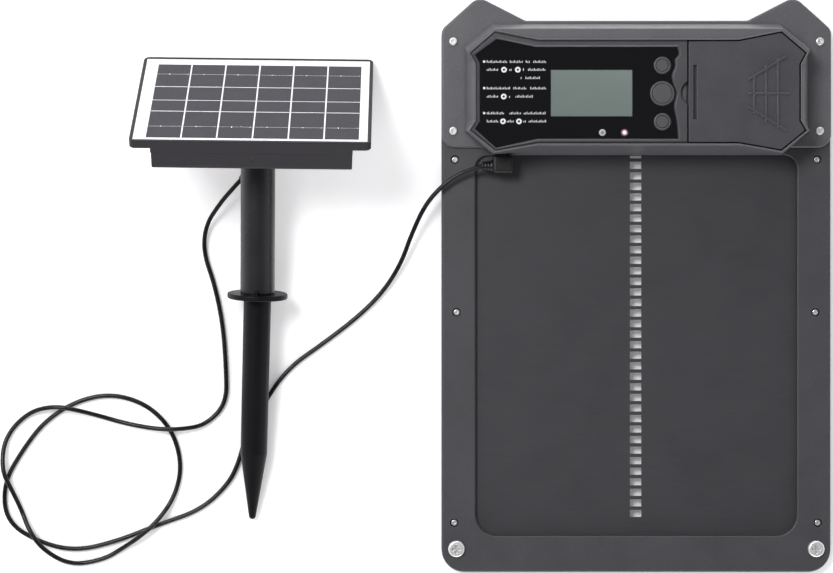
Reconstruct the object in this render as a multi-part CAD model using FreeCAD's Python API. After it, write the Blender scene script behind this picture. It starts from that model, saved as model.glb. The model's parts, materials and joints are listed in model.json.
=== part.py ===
"""Automatic coop door with a solar stake, lying on its back.

Frame: +X right, +Y towards the top of the door, +Z out of the front of the door.
The origin is the middle of the door's wall face, which lies in z = 0. Millimetres.
"""
import FreeCAD, Part
import math
import os
from FreeCAD import Placement, Rotation, Vector

# ---------------------------------------------------------------- door frame
DOOR_HALF = 132.5
DOOR_BOTTOM = -194.5
DOOR_SHOULDER = 174.7
EAR_APEX = (107.5, 197.2)
EAR_FOOT = (75.5, 180.8)
REAR_Z = 5.0
FRAME_Z = 11.0
OPENING_HALF = 109.5
OPENING_BOTTOM = -169.7
OPENING_TOP = 89.5
GUIDE_HALF = 113.6
GUIDE_BOTTOM = -175.5
GUIDE_ROOF = 8.2

# ---------------------------------------------------------------- door panel and its drive
PANEL_HALF = 113.0
PANEL_BOTTOM = -173.0
PANEL_TOP = 168.0
PANEL_Z = 5.6
PANEL_THICK = 2.0
SLOT_PITCH = 7.2
SLOT_COUNT = 42
SLOT_FIRST = -154.9
SLOT_WIDE = 7.9
SLOT_TALL = 4.9
TEETH = 12
PITCH_RADIUS = TEETH * SLOT_PITCH / (2 * math.pi)
TIP_RADIUS = PITCH_RADIUS + 2.2
ROOT_RADIUS = 9.6
PINION_HALF = 3.25
SHAFT_Y = SLOT_FIRST + 39 * SLOT_PITCH
SHAFT_Z = PANEL_Z + PANEL_THICK / 2 + PITCH_RADIUS
SHAFT_RADIUS = 3.0
SHAFT_PLAY = 0.05
MOTOR_RADIUS = 11.25

# ---------------------------------------------------------------- control housing
FLANGE_Z = 13.5
FLANGE_BOTTOM = 94.4
SHOULDER_Z = 42.4
RIM_Z = 43.0
RECESS_Z = 39.5
CAVITY_Z = 37.0
INSERT_Z = 42.5
RIM_WIDE = 1.05
RIM_ROUND = 0.42
RIM_SHIFT = -1.35
SEAM = 0.95
SEAM_DEEP = 0.8
SPLIT_X = 31.7
SPLIT_HALF = 0.55
CHANNEL_Z = 37.7
BASE_HALF = [(68, 179.1), (97.7, 179.1), (117, 163.5), (117, 155),
             (117, 113), (117, 106), (97.7, 89.4), (68, 89.4)]
SHOULDER_HALF = [(68, 172.3), (96.6, 172.0), (114.6, 157.3), (109.9, 149.3),
                 (109.9, 110.7), (114.4, 104.2), (96.9, 89.2), (68, 94.1)]
RIM_HALF = [(66.7, 165.7), (96, 171.5), (113.9, 156.2), (109.5, 148.3),
            (109.5, 111.1), (113.8, 103.9), (95.8, 89.4), (67, 94.5)]

# ---------------------------------------------------------------- display, buttons, electronics
WINDOW_TOP = 160.2
WINDOW_BOTTOM = 98.7
WINDOW_Z = 41.1
BEZEL_SLOPE = 1.1
LCD_BOX = (-59.8, -5.3, 113.7, 144.8)
BUTTON_X = 14.65
BUTTONS = {"up_button": (147.8, 5.7), "set_button": (129.0, 8.2), "down_button": (110.1, 5.7)}
BUTTON_TRAVEL = 1.0
BUTTON_Z = 42.3
BUTTON_FOOT_Z = 39.2
SENSOR_XY = (-25.3, 102.9)
LED_XY = (-10.5, 102.9)
BOARD_Z = 33.5
BOARD_THICK = 1.6
BOARD_SCREWS = [(-90, 161.6), (24.5, 161.6), (-80, 99.6), (24.5, 99.6)]

# ---------------------------------------------------------------- batteries
TRAY_BOX = (40.0, 100.4, 97.5, 160.5, 18.5, 36.5)
TRAY_WALL = 1.5
CELL_RADIUS = 7.25
CELL_FLAT = 24.6
CELL_STUD = 25.4
CELL_PITCH = 14.9
CELL_ROWS = [129.0 + CELL_PITCH * (n - 1.5) for n in range(4)]
CELL_Z = TRAY_BOX[4] + TRAY_WALL + CELL_RADIUS + 0.1
HINGE_X = 109.0
HINGE_Z = INSERT_Z
COVER_UNDER = RECESS_Z + 0.4

# ---------------------------------------------------------------- power inlet
JACK_X = -91.5
JACK_Z = 19.0
PLUG_Y = 81.5
RELIEF_END_X = -105.0
RELIEF_TIP = 3.2

# ---------------------------------------------------------------- screws
COVER_SCREWS = [(124.6, 166.5), (124.6, 105.8), (-124.6, 166.5), (-124.6, 105.8)]
FRAME_SCREWS = [(123.3, 86.4), (122.2, -17.6), (123.8, -161),
                (-123.3, 86.4), (-122.2, -17.6), (-123.8, -161)]
WALL_SCREWS = [(122.4, -178.5), (-122.4, -178.5)]

# ---------------------------------------------------------------- solar head and stake
HEAD_CENTRE = Vector(-257.2, 124.7, 50.75)
HEAD_TILT = 56.0
HEAD_ROLL = 0.5
HEAD_YAW = -0.63
HEAD_WIDE = 156.5
HEAD_TALL = 113.0
LIP_THICK = 5.5
LIP_BORDER = 2.2
BUNG_RADIUS = 1.8
SKIRT_DEPTH = 8.65
SHELL_DEPTH = 21.0
SHELL_X = (-64.6, 66.4)
SHELL_Y = (-56.5, 43.0)
CELL_AREA = (-67.5, 70.3, -51.1, 46.3)
CELL_GAP = 1.0
PIVOT_LOCAL = Vector(1.9, -5.0, -33.0)
LUG_RADIUS = 9.0
FORK_RADIUS = 8.6
LUG_HALF = 5.0
EAR_OUTER = 10.5
BOLT_RADIUS = 2.5
BOLT_PLAY = 0.08
STAKE_TILT = 7.16
POLE_YAW = -0.67
SPIKE_YAW = -1.83
POLE_RADIUS = 11.6
POLE_WALL = 1.8
POLE_TOP = -14.5
COLLAR_AT = -101.4
COLLAR_RADIUS = 20.3
COLLAR_THICK = 3.5
SPIKE_TOP_RADIUS = 9.3
SPIKE_LOW_RADIUS = 9.1
SPIKE_SHOULDER = 108.1
SPIKE_LENGTH = 154.3
SPIKE_TIP_RADIUS = 2.3

# ---------------------------------------------------------------- cord
CORD_RADIUS = 1.55
CORD_ROUTE = [
    (-268.0, 72.5, 22.0), (-276.0, 64.5, 17.5), (-284.0, 55.5, 12.0),
    (-293.5, 42.0, 5.5), (-295.5, 23.5, 1.55),
    (-287.5, 0.5, 1.55), (-282.0, -27.0, 1.55), (-280.0, -55.0, 1.55), (-279.5, -80.0, 1.55),
    (-294.0, -95.0, 1.55), (-310.5, -97.5, 6.75), (-326.0, -97.5, 6.75), (-348.0, -94.0, 1.55),
    (-367.0, -88.5, 1.55), (-381.0, -84.5, 6.75), (-397.0, -81.5, 6.75), (-415.5, -86.0, 1.55),
    (-431.5, -103.0, 1.55), (-433.0, -125.0, 6.75), (-425.5, -139.5, 6.75), (-420.0, -153.0, 1.55),
    (-414.0, -166.5, 6.75), (-405.0, -179.5, 6.75), (-386.5, -191.0, 1.55), (-363.5, -187.0, 1.55),
    (-350.5, -179.0, 1.55), (-338.5, -171.0, 6.75), (-326.5, -160.5, 6.75), (-315.0, -144.0, 1.55),
    (-310.0, -122.5, 1.55), (-316.5, -98.5, 1.55), (-333.5, -81.0, 1.55), (-357.0, -73.5, 1.55),
    (-380.5, -77.5, 1.55), (-403.5, -91.5, 1.55), (-419.0, -111.5, 1.55), (-432.5, -135.0, 1.55),
    (-430.5, -161.5, 1.55), (-406.0, -176.0, 1.55), (-381.5, -181.0, 1.55), (-353.5, -174.0, 1.55),
    (-326.0, -163.0, 1.55), (-297.0, -153.0, 1.55), (-278.0, -135.0, 1.55),
    (-271.0, -119.5, 1.55), (-267.8, -107.0, 1.55),
    (-256.0, -83.0, 1.55), (-238.5, -56.5, 1.55), (-212.0, -38.0, 1.55), (-188.0, -19.5, 1.55),
    (-171.5, -2.5, 3.0), (-160.0, 16.0, 6.0), (-153.0, 35.5, 10.0),
    (-143.5, 56.0, 15.0), (-131.0, 69.5, 17.3),
    (-118.5, 77.5, 18.7), (RELIEF_END_X, PLUG_Y, JACK_Z)]

X_AXIS = Vector(1, 0, 0)
Y_AXIS = Vector(0, 1, 0)
Z_AXIS = Vector(0, 0, 1)


# ================================================================ helpers
def block(x0, x1, y0, y1, z0, z1):
    """A box between two corners."""
    return Part.makeBox(x1 - x0, y1 - y0, z1 - z0, Vector(x0, y0, z0))


def rod(radius, start, direction, length):
    """A cylinder from start along direction."""
    return Part.makeCylinder(radius, length, start, direction)


def cone(radius_a, radius_b, start, direction, length):
    """A cone frustum from start along direction."""
    return Part.makeCone(radius_a, radius_b, length, start, direction)


def post(radius, xy, z0, z1):
    """An upright cylinder."""
    return rod(radius, Vector(xy[0], xy[1], z0), Z_AXIS, z1 - z0)


def mirrored(half):
    """A closed outline from its right half, listed from the top down, with any third value kept."""
    return list(half) + [(-p[0],) + tuple(p[1:]) for p in reversed(half)]


def rounded_wire(corners, z):
    """A closed wire at height z through corners (x, y) or (x, y, radius)."""
    edges = []
    joints = []
    count = len(corners)
    for i, corner in enumerate(corners):
        here = Vector(corner[0], corner[1], z)
        radius = corner[2] if len(corner) > 2 else 0
        if not radius:
            joints.append((here, here, None))
            continue
        before = Vector(corners[i - 1][0], corners[i - 1][1], z) - here
        after = Vector(corners[(i + 1) % count][0], corners[(i + 1) % count][1], z) - here
        before.normalize()
        after.normalize()
        half_angle = before.getAngle(after) / 2
        reach = radius / math.tan(half_angle)
        middle = before + after
        middle.normalize()
        crown = here + middle * (radius / math.sin(half_angle) - radius)
        joints.append((here + before * reach, here + after * reach, crown))
    for i, (enter, leave, crown) in enumerate(joints):
        if crown is not None:
            edges.append(Part.Arc(enter, crown, leave).toShape())
        following = joints[(i + 1) % count][0]
        edges.append(Part.LineSegment(leave, following).toShape())
    return Part.Wire(edges)


def plate(corners, z0, z1):
    """A flat plate with the outline of corners between two heights."""
    return Part.Face(rounded_wire(corners, z0)).extrude(Vector(0, 0, z1 - z0))


def inset(corners, gap):
    """The sharp outline moved inwards by gap; the corners run clockwise."""
    count = len(corners)
    lines = []
    for i in range(count):
        x0, y0 = corners[i][:2]
        x1, y1 = corners[(i + 1) % count][:2]
        run = math.hypot(x1 - x0, y1 - y0)
        nx, ny = (y1 - y0) / run, -(x1 - x0) / run
        lines.append((x0 + nx * gap, y0 + ny * gap, x1 - x0, y1 - y0))
    moved = []
    for i in range(count):
        ax, ay, adx, ady = lines[i - 1]
        bx, by, bdx, bdy = lines[i]
        cross = adx * bdy - ady * bdx
        if abs(cross) < 1e-9:
            moved.append((bx, by))
            continue
        t = ((bx - ax) * bdy - (by - ay) * bdx) / cross
        moved.append((ax + adx * t, ay + ady * t))
    return moved


def shifted(corners):
    """The outline moved sideways with the housing's rim."""
    return [(p[0] + RIM_SHIFT, p[1]) for p in corners]


def dome(sections):
    """A solid through sharp outlines at rising heights, with flat sides."""
    wires = [rounded_wire(corners, z) for corners, z in sections]
    return Part.makeLoft(wires, True, True)


def soften(shape, radius, keep):
    """Fillet the edges whose centre passes keep(point)."""
    edges = [e for e in shape.Edges if keep(e.CenterOfMass)]
    return shape.makeFillet(radius, edges)


def placed(shape, frame):
    """A copy of shape moved by a placement."""
    moved = shape.copy()
    moved.Placement = frame.multiply(moved.Placement)
    return moved


def screw(xy, head_radius, seat, head_thick, shank_radius, foot):
    """A pan-head screw with a cross recess, standing on seat and reaching down to foot."""
    x, y = xy
    head = post(head_radius, xy, seat, seat + head_thick)
    head = soften(head, head_thick * 0.45, lambda c: c.z > seat + head_thick - 0.01)
    arm = head_radius * 0.55
    slot = head_radius * 0.19
    depth = head_thick * 0.55
    top = seat + head_thick
    recess = block(x - arm, x + arm, y - slot, y + slot, top - depth, top + 1)
    recess = recess.fuse(block(x - slot, x + slot, y - arm, y + arm, top - depth, top + 1))
    return head.cut(recess).fuse(post(shank_radius, xy, foot, seat))


# ================================================================ door frame
def door_outline(bottom, bottom_radius):
    """The frame's outline, clockwise from the top middle, with a given bottom edge."""
    half = [(EAR_FOOT[0], EAR_FOOT[1], 5), (EAR_APEX[0], EAR_APEX[1], 9), (DOOR_HALF, DOOR_SHOULDER, 7),
            (DOOR_HALF, bottom, bottom_radius)]
    return mirrored(half)


def opening_outline():
    """The doorway, with its rounded corners."""
    return mirrored([(OPENING_HALF, OPENING_TOP, 9), (OPENING_HALF, OPENING_BOTTOM, 14.5)])


def drive_windows(z0, z1):
    """The space that the pinion and the motor need through the frame's front."""
    pinion = block(-5.2, 5.2, SHAFT_Y - 13, SHAFT_Y + 13, z0, z1)
    motor = block(-68, -5, SHAFT_Y - 8.5, SHAFT_Y + 8.5, z0, z1)
    return pinion.fuse(motor)


def rear_frame():
    """The half of the frame against the wall."""
    body = plate(door_outline(DOOR_BOTTOM, 15.4), 0, REAR_Z)
    body = body.cut(plate(opening_outline(), -1, REAR_Z + 1))
    body = body.cut(block(-5, 5, SHAFT_Y - 8, SHAFT_Y + 8, 3.6, REAR_Z))
    for xy in FRAME_SCREWS + COVER_SCREWS:
        body = body.cut(post(1.3, xy, 1.5, REAR_Z))
    for xy in WALL_SCREWS:
        body = body.cut(post(2.6, xy, -1, REAR_Z + 1))
    return body


def front_frame():
    """The half with the doorway's lip and the panel's guide, open at the top."""
    body = plate(door_outline(DOOR_BOTTOM, 15.4), REAR_Z, FRAME_Z)
    body = soften(body, 1.4, lambda c: c.z > FRAME_Z - 0.01)
    body = body.cut(plate(opening_outline(), REAR_Z - 1, FRAME_Z + 1))
    body = soften(body, 1.0, lambda c: c.z > FRAME_Z - 0.01 and abs(c.x) < 110 and -172 < c.y < 92)
    body = body.cut(block(-GUIDE_HALF, GUIDE_HALF, GUIDE_BOTTOM, 230, REAR_Z - 1, GUIDE_ROOF))
    body = body.cut(drive_windows(GUIDE_ROOF - 1, FRAME_Z + 1))
    for xy in FRAME_SCREWS:
        body = body.cut(post(2.9, xy, FRAME_Z - 2.6, FRAME_Z + 1))
    for xy in FRAME_SCREWS + COVER_SCREWS:
        body = body.cut(post(1.3, xy, REAR_Z - 1, FRAME_Z + 1))
    for xy in WALL_SCREWS:
        body = body.cut(post(2.6, xy, REAR_Z - 1, FRAME_Z + 1))
    for xy in bracket_feet():
        body = body.cut(post(1.25, xy, GUIDE_ROOF, FRAME_Z + 1))
    return body


def guide_liners():
    """Two slippery strips that the panel's edges run on."""
    strips = [block(s * 111.6 - 1.4, s * 111.6 + 1.4, -172, 176, REAR_Z, PANEL_Z - 0.08) for s in (-1, 1)]
    return Part.makeCompound(strips)


def bottom_stop():
    """A rubber strip in the guide's foot that the closed panel meets."""
    return block(-105, 105, GUIDE_BOTTOM, PANEL_BOTTOM - 0.25, REAR_Z, GUIDE_ROOF)


def doorway_seal():
    """A thin black strip round the doorway's sides and foot, in front of the panel."""
    ring = plate(opening_outline(), GUIDE_ROOF, FRAME_Z - 1.2)
    side, foot = 0.6, 1.3
    inner = mirrored([(OPENING_HALF - side, 120), (OPENING_HALF - side, OPENING_BOTTOM + foot, 13.6)])
    ring = ring.cut(plate(inner, GUIDE_ROOF - 1, FRAME_Z))
    return ring.cut(block(-150, 150, 80, 150, 0, 20))


# ================================================================ door panel and drive
def door_panel():
    """The aluminium panel, slotted down the middle for the pinion."""
    top = PANEL_Z + PANEL_THICK
    body = block(-PANEL_HALF, PANEL_HALF, PANEL_BOTTOM, PANEL_TOP, PANEL_Z, top)
    corners = [e for e in body.Edges if abs(e.CenterOfMass.z - top + PANEL_THICK / 2) < 0.01]
    body = body.makeFillet(2.5, corners)
    slots = []
    for n in range(SLOT_COUNT):
        y = SLOT_FIRST + n * SLOT_PITCH
        slots.append(block(-SLOT_WIDE / 2, SLOT_WIDE / 2, y - SLOT_TALL / 2, y + SLOT_TALL / 2,
                           PANEL_Z - 1, top + 1))
    return body.cut(Part.makeCompound(slots))


def tooth(angle):
    """One tapered pinion tooth, pointing down before it is turned by angle about the shaft."""
    half_root, half_tip = 1.9, 1.0
    corners = [Vector(0, -half_root, -ROOT_RADIUS + 1), Vector(0, half_root, -ROOT_RADIUS + 1),
               Vector(0, half_tip, -TIP_RADIUS), Vector(0, -half_tip, -TIP_RADIUS)]
    shape = Part.Face(Part.makePolygon(corners + corners[:1])).extrude(Vector(2 * PINION_HALF, 0, 0))
    shape.translate(Vector(-PINION_HALF, SHAFT_Y, SHAFT_Z))
    shape.rotate(Vector(0, SHAFT_Y, SHAFT_Z), X_AXIS, angle)
    return shape


def drive_pinion():
    """The pinion whose teeth drop into the panel's slots."""
    wheel = rod(ROOT_RADIUS, Vector(-PINION_HALF, SHAFT_Y, SHAFT_Z), X_AXIS, 2 * PINION_HALF)
    wheel = wheel.multiFuse([tooth(360 / TEETH * n) for n in range(TEETH)])
    return wheel.cut(rod(SHAFT_RADIUS, Vector(-10, SHAFT_Y, SHAFT_Z), X_AXIS, 20))


def drive_shaft():
    """The gearbox's output shaft, carried on by the bush on the far side of the pinion."""
    return rod(SHAFT_RADIUS, Vector(-16, SHAFT_Y, SHAFT_Z), X_AXIS, 28)


def gearbox():
    """The gear head, with a bore for the output shaft and tapped holes for its screws."""
    body = rod(MOTOR_RADIUS, Vector(-35, SHAFT_Y, SHAFT_Z), X_AXIS, 26)
    body = body.cut(rod(SHAFT_RADIUS + SHAFT_PLAY, Vector(-17, SHAFT_Y, SHAFT_Z), X_AXIS, 20))
    for centre in gearbox_screw_points():
        body = body.cut(rod(1.25, centre + Vector(-6, 0, 0), X_AXIS, 10))
    return body


def gear_motor():
    """The motor can, with its end cap and two terminals."""
    can = rod(MOTOR_RADIUS - 0.5, Vector(-63, SHAFT_Y, SHAFT_Z), X_AXIS, 28)
    can = can.fuse(rod(4.0, Vector(-65, SHAFT_Y, SHAFT_Z), X_AXIS, 3))
    for side in (-1, 1):
        y = SHAFT_Y + side * 6.5
        can = can.fuse(block(-66.5, -62.5, y - 1.2, y + 1.2, SHAFT_Z - 0.3, SHAFT_Z + 0.3))
    return can


def gearbox_screw_points():
    """Where the bracket's screws enter the gearbox face."""
    return [Vector(-9, SHAFT_Y + s * 7.8, SHAFT_Z) for s in (-1, 1)]


def bracket_feet():
    """Where the bracket is screwed to the front frame."""
    return [(x, SHAFT_Y + s * 18.5) for x in (-3, 11) for s in (-1, 1)]


def motor_bracket():
    """The folded steel bracket with one cheek at the gearbox and one at the bush."""
    def cheek(x0, x1):
        return block(x0, x1, SHAFT_Y - 16, SHAFT_Y + 16, FRAME_Z, SHAFT_Z + 10.5)
    body = cheek(-9, -7.4).fuse(cheek(7.4, 9))
    for side in (-1, 1):
        y0, y1 = sorted((SHAFT_Y + side * 14.6, SHAFT_Y + side * 22))
        body = body.fuse(block(-9, 15, y0, y1, FRAME_Z, FRAME_Z + 1.5))
    body = body.cut(rod(5.5, Vector(-10, SHAFT_Y, SHAFT_Z), X_AXIS, 4))
    body = body.cut(rod(5.0, Vector(6, SHAFT_Y, SHAFT_Z), X_AXIS, 4))
    for centre in gearbox_screw_points():
        body = body.cut(rod(1.25, centre + Vector(-1, 0, 0), X_AXIS, 4))
    for xy in bracket_feet():
        body = body.cut(post(1.25, xy, FRAME_Z - 1, FRAME_Z + 3))
    return body


def shaft_bush():
    """The flanged bronze bush in the bracket's far cheek."""
    bush = rod(5.0, Vector(7.4, SHAFT_Y, SHAFT_Z), X_AXIS, 1.6).fuse(
        rod(6.5, Vector(9, SHAFT_Y, SHAFT_Z), X_AXIS, 1.2))
    return bush.cut(rod(SHAFT_RADIUS + SHAFT_PLAY, Vector(0, SHAFT_Y, SHAFT_Z), X_AXIS, 20))


def motor_screws():
    """Two screws into the gearbox face and four that hold the bracket's feet."""
    screws = []
    for centre in gearbox_screw_points():
        shank = rod(1.25, centre + Vector(-5, 0, 0), X_AXIS, 6.6)
        screws.append(shank.fuse(rod(2.2, centre + Vector(1.6, 0, 0), X_AXIS, 1.4)))
    for xy in bracket_feet():
        screws.append(screw(xy, 2.4, FRAME_Z + 1.5, 1.5, 1.25, GUIDE_ROOF + 0.3))
    return Part.makeCompound(screws)


# ================================================================ control housing
def board_bosses():
    """Short bosses under the housing's recess floor for the board's screws."""
    return [post(3.0, xy, BOARD_Z + BOARD_THICK, CAVITY_Z + 0.5) for xy in BOARD_SCREWS]


def gasket_groove():
    """The band under the housing's edge that its foam gasket fills."""
    outer = plate(inset(mirrored(BASE_HALF), 0.4), FRAME_Z, FRAME_Z + 1.2)
    return outer.cut(plate(inset(mirrored(BASE_HALF), 2.2), FRAME_Z - 1, FRAME_Z + 3))


def on_inner_rim(centre):
    """Whether an edge's centre lies on the rim's inner top edge."""
    return centre.z > RIM_Z - 0.01


def recess_blank():
    """The space inside the housing's rim, down to the recess floor."""
    return plate(inset(shifted(mirrored(RIM_HALF)), RIM_WIDE), RECESS_Z, RIM_Z + 1)


def cover_channel():
    """The deep channel under the gap that runs round the battery cover."""
    outer = plate(inset(shifted(mirrored(RIM_HALF)), RIM_WIDE), CHANNEL_Z, RECESS_Z + 1)
    outer = outer.common(block(SPLIT_X - SPLIT_HALF, 150, 60, 200, 30, 60))
    inner = plate(inset(shifted(mirrored(RIM_HALF)), RIM_WIDE + SEAM + 0.2), CHANNEL_Z - 1, RECESS_Z + 2)
    inner = inner.common(block(SPLIT_X + SPLIT_HALF + 0.2, 150, 60, 200, 30, 60))
    return outer.cut(inner)


def control_housing():
    """The upper cover: a flange with two ears, and a many-sided box with a recessed front."""
    flange = plate(door_outline(FLANGE_BOTTOM, 9), FRAME_Z, FLANGE_Z)
    flange = soften(flange, 1.2, lambda c: c.z > FLANGE_Z - 0.01)
    base = mirrored(BASE_HALF)
    shoulder = shifted(mirrored(SHOULDER_HALF))
    rim = shifted(mirrored(RIM_HALF))
    body = flange.fuse(dome([(base, FRAME_Z), (shoulder, SHOULDER_Z)]))
    bead = soften(plate(rim, SHOULDER_Z - 1, RIM_Z), RIM_ROUND, lambda c: c.z > RIM_Z - 0.01)
    cavity = dome([(inset(base, 2.6), FRAME_Z - 1), (inset(shoulder, 3.0), CAVITY_Z)])
    body = body.cut(cavity)
    body = body.fuse(soften(bead.cut(recess_blank()), RIM_ROUND, on_inner_rim)).cut(recess_blank())
    body = body.cut(cover_channel())
    body = body.cut(block(-102, 21.5, 103, 156.5, CAVITY_Z - 1, RECESS_Z + 1))
    body = body.cut(block(TRAY_BOX[0] - 0.3, TRAY_BOX[1] + 0.3, TRAY_BOX[2] - 0.3, TRAY_BOX[3] + 0.3,
                          CAVITY_Z - 1, RECESS_Z + 1))
    body = body.multiFuse(board_bosses())
    for xy in BOARD_SCREWS:
        body = body.cut(post(1.2, xy, BOARD_Z, RECESS_Z - 1))
    body = body.cut(gasket_groove())
    for xy in COVER_SCREWS:
        body = body.cut(post(1.3, xy, FRAME_Z - 1, FLANGE_Z + 1))
    for xy in (SENSOR_XY, LED_XY):
        body = body.cut(post(2.6, xy, CAVITY_Z - 1, RECESS_Z + 1))
    for y, radius in BUTTONS.values():
        body = body.cut(post(radius + 1.4, (BUTTON_X, y), CAVITY_Z - 1, RECESS_Z + 1))
    return body.cut(rod(4.2, Vector(JACK_X, 85, JACK_Z), Y_AXIS, 12))


def housing_gasket():
    """The foam gasket between housing and frame."""
    return gasket_groove()


def insert_outline():
    """The outline of the two pieces that fill the recess in the front."""
    return inset(shifted(mirrored(RIM_HALF)), RIM_WIDE + SEAM)


def window_corners(gap):
    """The window's sharp outline without its wavy right edge, each side gap further in."""
    corners = [(-70.0, WINDOW_TOP), (60, WINDOW_TOP), (60, WINDOW_BOTTOM), (-68.5, WINDOW_BOTTOM),
               (-96.4, 92.6), (-110.6, 105.4), (-107.4, 110.9), (-107.4, 149.4), (-110.6, 155.0),
               (-95.8, 165.6)]
    return inset(corners, gap)


def wavy_side(gap, z0, z1):
    """The material to the right of the window's wavy edge."""
    x = 25.3 - gap
    swings = [(0, 170), (0, 158), (-0.1, 154.2), (-2.0, 152.2), (-2.1, 148.0), (-4.1, 142.2),
              (-4.0, 138.0), (-2.7, 133.9), (-1.3, 129.6), (-2.7, 122.2), (-2.0, 115.5),
              (-0.8, 108.8), (-0.1, 98.8), (0, 85)]
    knots = [Vector(x + swing, y, z0) for swing, y in swings]
    wave = Part.BSplineCurve()
    wave.interpolate(knots)
    corners = [knots[-1], Vector(80, 85, z0), Vector(80, 170, z0), knots[0]]
    edges = [wave.toShape()]
    edges += [Part.LineSegment(a, b).toShape() for a, b in zip(corners, corners[1:])]
    return Part.Face(Part.Wire(edges)).extrude(Vector(0, 0, z1 - z0))


def window_blank(gap, z0, z1):
    """The window's full outline between two heights."""
    return plate(window_corners(gap), z0, z1).cut(wavy_side(gap, z0 - 1, z1 + 1))


def fascia_bezel():
    """The ring round the window and the strip beside the battery cover, with a finger notch."""
    sheet = block(-150, 150, 60, 200, RECESS_Z, INSERT_Z)
    sheet = sheet.cut(window_blank(0, RECESS_Z - 1, INSERT_Z + 1))
    mouth = [e for e in sheet.Edges if e.CenterOfMass.z > INSERT_Z - 0.01
             and abs(e.CenterOfMass.x) < 140 and 70 < e.CenterOfMass.y < 190]
    sheet = sheet.makeChamfer(BEZEL_SLOPE, mouth)
    body = sheet.common(soften(plate(insert_outline(), RECESS_Z, INSERT_Z), 0.4,
                               lambda c: c.z > INSERT_Z - 0.01))
    skirt = inset(shifted(mirrored(RIM_HALF)), RIM_WIDE + 0.1)
    body = body.fuse(sheet.common(plate(skirt, RECESS_Z, INSERT_Z - SEAM_DEEP)))
    body = body.cut(block(SPLIT_X - SPLIT_HALF, 150, 60, 200, 30, 60))
    notch = rod(9.0, Vector(SPLIT_X + 4.2, 129.4, RECESS_Z - 1), Z_AXIS, 6)
    return body.cut(notch)


def display_window():
    """The black acrylic window, cut out for the display, the buttons and the two lenses."""
    body = window_blank(0.12, RECESS_Z, WINDOW_Z)
    x0, x1, y0, y1 = LCD_BOX
    body = body.cut(block(x0, x1, y0, y1, RECESS_Z - 1, WINDOW_Z + 1))
    for y, radius in BUTTONS.values():
        body = body.cut(post(radius + 0.4, (BUTTON_X, y), RECESS_Z - 1, WINDOW_Z + 1))
    body = body.cut(post(2.4, SENSOR_XY, RECESS_Z - 1, WINDOW_Z + 1))
    return body.cut(post(2.4, LED_XY, RECESS_Z - 1, WINDOW_Z + 1))


def lcd_module():
    """The display: a backlight on the board, a frame, and the glass in the window's cut-out."""
    x0, x1, y0, y1 = LCD_BOX
    back = block(x0, x1 - 1.2, y0 + 2, y1 - 2, BOARD_Z + BOARD_THICK, 36.9)
    frame = block(x0 - 3, x1 + 2, y0 - 3, y1 + 3, 36.9, 39.3)
    glass = block(x0 + 0.12, x1 - 0.12, y0 + 0.12, y1 - 0.12, 39.3, WINDOW_Z - 0.15)
    return back.fuse(frame).fuse(glass)


def push_button(name):
    """A round cap with a flange under the window and a stem that ends just above its switch."""
    y, radius = BUTTONS[name]
    cap = post(radius, (BUTTON_X, y), BUTTON_FOOT_Z, BUTTON_Z)
    cap = soften(cap, 0.7, lambda c: c.z > BUTTON_Z - 0.01)
    groove = post(radius - 1.3, (BUTTON_X, y), BUTTON_Z - 0.7, BUTTON_Z + 1)
    groove = groove.cut(post(radius - 1.8, (BUTTON_X, y), BUTTON_Z - 2, BUTTON_Z + 2))
    stem = post(1.8, (BUTTON_X, y), switch_top() + BUTTON_TRAVEL + 0.02, BUTTON_FOOT_Z)
    flange = post(radius + 1.0, (BUTTON_X, y), BUTTON_FOOT_Z - 0.8, RECESS_Z - 0.15)
    return cap.cut(groove).fuse(stem).fuse(flange)


def switch_top():
    """The height of a tact switch's plunger."""
    return BOARD_Z + BOARD_THICK + 1.9


def tact_switches():
    """Three square switches on the board, one under each button."""
    switches = []
    for y, _ in BUTTONS.values():
        z = BOARD_Z + BOARD_THICK
        body = block(BUTTON_X - 3, BUTTON_X + 3, y - 3, y + 3, z, z + 1.4)
        switches.append(body.fuse(post(1.6, (BUTTON_X, y), z + 1.4, switch_top())))
    return Part.makeCompound(switches)


def circuit_board():
    """The board behind the fascia, slotted to clear the pinion."""
    body = block(-100, 29, 97.0, 164.2, BOARD_Z, BOARD_Z + BOARD_THICK)
    body = body.cut(block(-4.8, 4.8, SHAFT_Y - 12, SHAFT_Y + 12, BOARD_Z - 1, BOARD_Z + 3))
    for xy in BOARD_SCREWS:
        body = body.cut(post(1.2, xy, BOARD_Z - 1, BOARD_Z + 3))
    return body


def board_screws():
    """Four screws up through the board into the housing's bosses."""
    screws = []
    for x, y in BOARD_SCREWS:
        head = post(2.3, (x, y), BOARD_Z - 1.5, BOARD_Z)
        screws.append(head.fuse(post(1.2, (x, y), BOARD_Z, RECESS_Z - 1.5)))
    return Part.makeCompound(screws)


def lens(xy, radius):
    """A round lens that stands on the board and ends level with the window."""
    body = post(radius, xy, BOARD_Z + BOARD_THICK, WINDOW_Z + 0.25)
    return soften(body, 0.8, lambda c: c.z > WINDOW_Z)


def dc_jack():
    """The power inlet behind the hole in the housing's lower wall."""
    body = block(JACK_X - 4.6, JACK_X + 4.6, 94.4, 106, JACK_Z - 4.5, JACK_Z + 4.5)
    body = body.cut(rod(2.9, Vector(JACK_X, 90, JACK_Z), Y_AXIS, 13))
    return body.fuse(rod(0.8, Vector(JACK_X, 96, JACK_Z), Y_AXIS, 8))


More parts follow.
